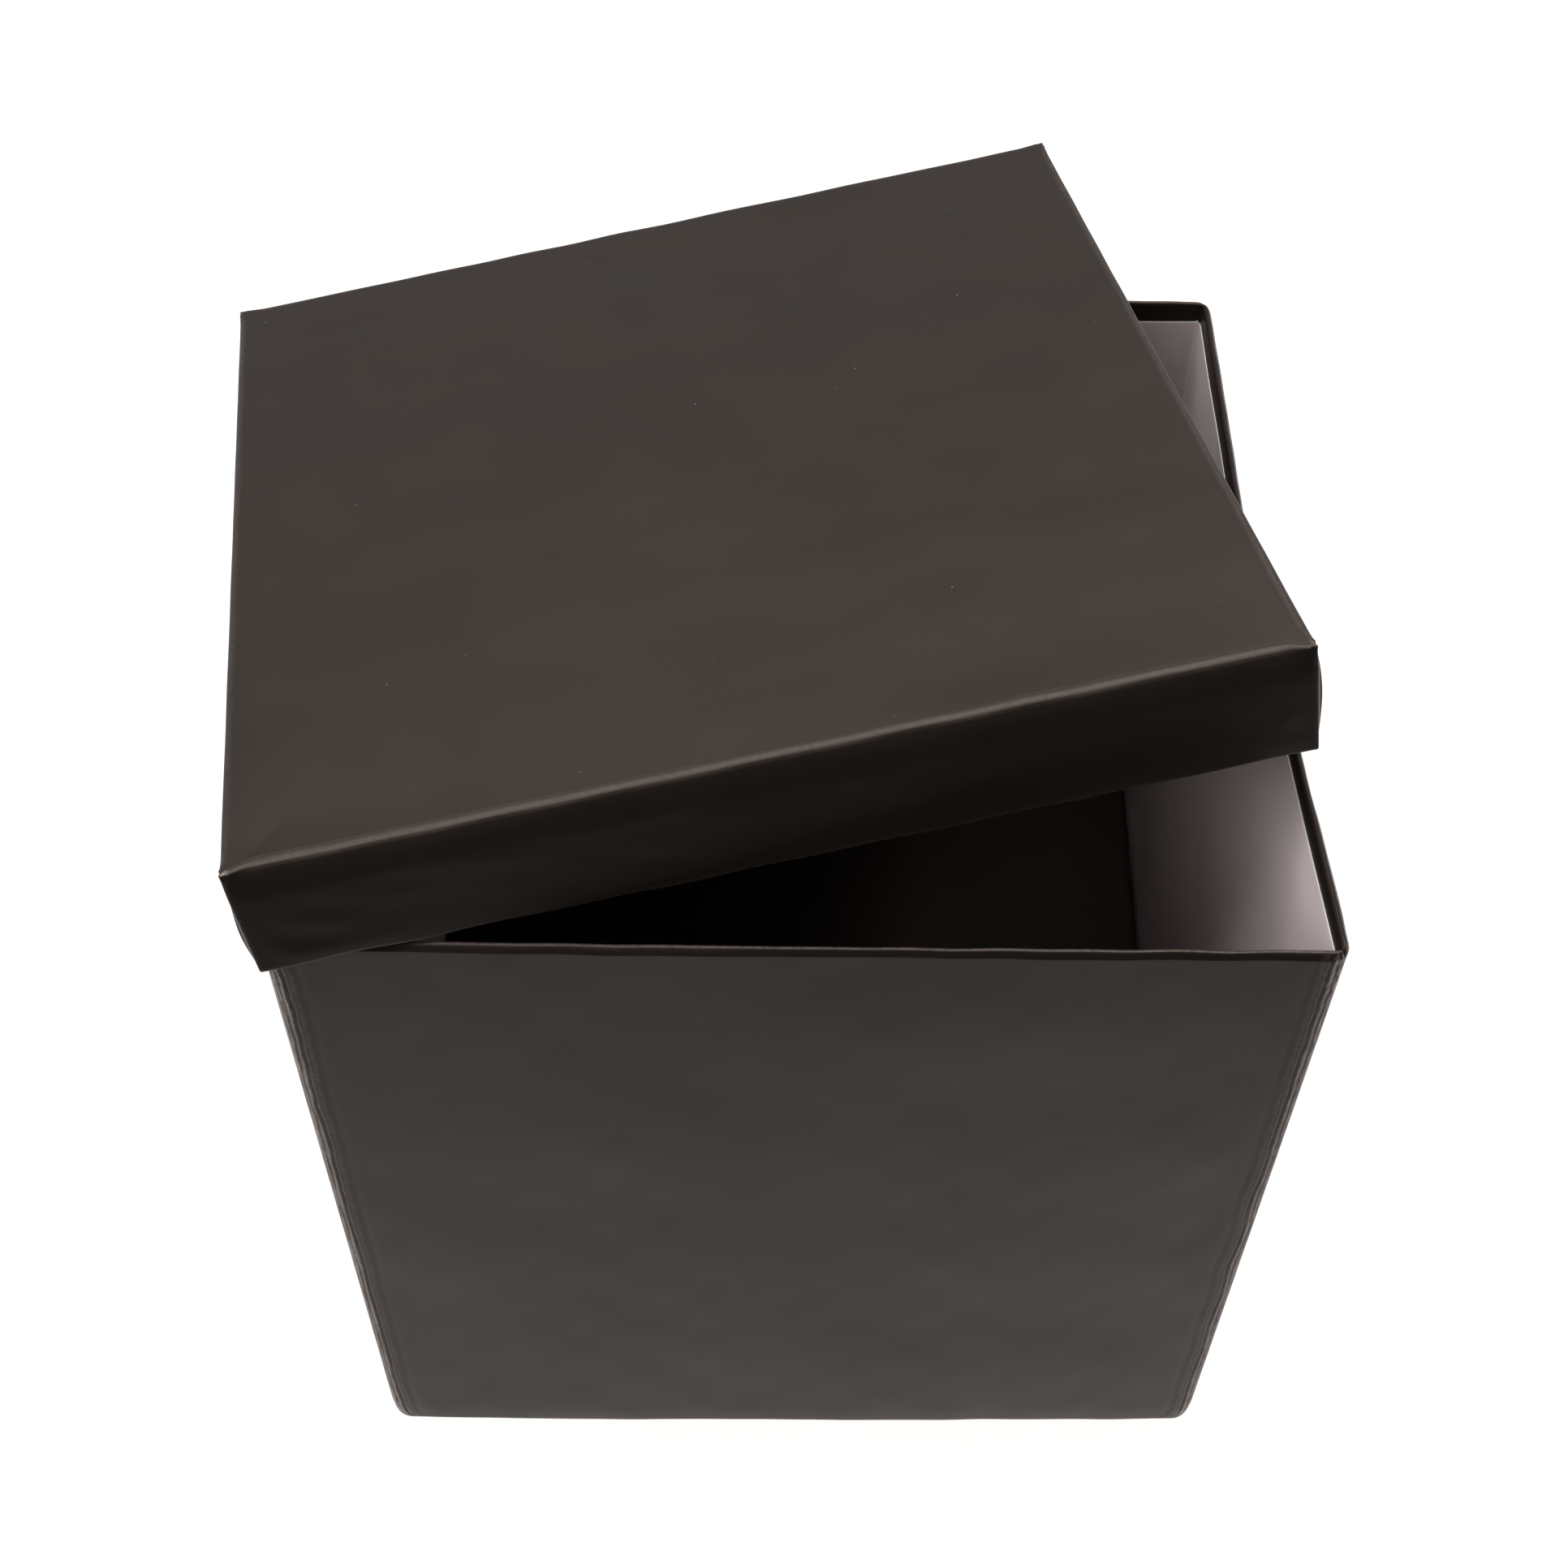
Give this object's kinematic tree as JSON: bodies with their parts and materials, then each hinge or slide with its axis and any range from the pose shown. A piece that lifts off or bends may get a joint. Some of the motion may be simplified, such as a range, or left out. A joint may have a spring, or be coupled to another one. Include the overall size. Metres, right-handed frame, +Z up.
{
  "type": "lidded storage box",
  "caption": "Cube-shaped rigid paperboard box in matte charcoal wrap with a pale lining, its loose lid resting askew and its hinged floor panel tipped up.",
  "frame": {"origin": "middle of the ring of wall undersides, on the plane the box stands on", "axes": "+Z up, +Y from the front wall to the back wall, +X to the right seen from the front"},
  "size_m": [0.2979, 0.2952, 0.3005],
  "materials": {
    "greyboard": "matte",
    "corner_tape": "matte",
    "wrap_paper": "matte",
    "liner_paper": "matte",
    "floor_paper": "matte"
  },
  "bodies": {
    "base": {"front_board": "greyboard", "back_board": "greyboard", "left_front_board": "greyboard", "left_rear_board": "greyboard", "right_front_board": "greyboard", "right_rear_board": "greyboard", "outer_wrap": "wrap_paper", "wall_liner": "liner_paper", "corner_tape_back_right": "corner_tape", "corner_tape_back_left": "corner_tape", "corner_tape_front_left": "corner_tape", "corner_tape_front_right": "corner_tape", "floor_hinge_strip": "liner_paper"},
    "floor_panel": {"floor_board": "greyboard", "floor_backing": "floor_paper", "floor_cover": "floor_paper"},
    "lid": {"lid_top_board": "greyboard", "lid_front_skirt": "greyboard", "lid_back_skirt": "greyboard", "lid_left_skirt": "greyboard", "lid_right_skirt": "greyboard", "lid_wrap": "wrap_paper", "lid_liner": "liner_paper"}
  },
  "joints": [
    {"name": "lid_lift", "type": "slide", "parent": "base", "child": "lid", "axis": [0, 0, 1], "range_m": [0, 0.15]},
    {"name": "floor_hinge", "type": "hinge", "parent": "base", "child": "floor_panel", "pos_m": [0, -0.1212, 0.0025], "axis": [1, 0, 0], "range_deg": [-13.5, 75]}
  ]
}
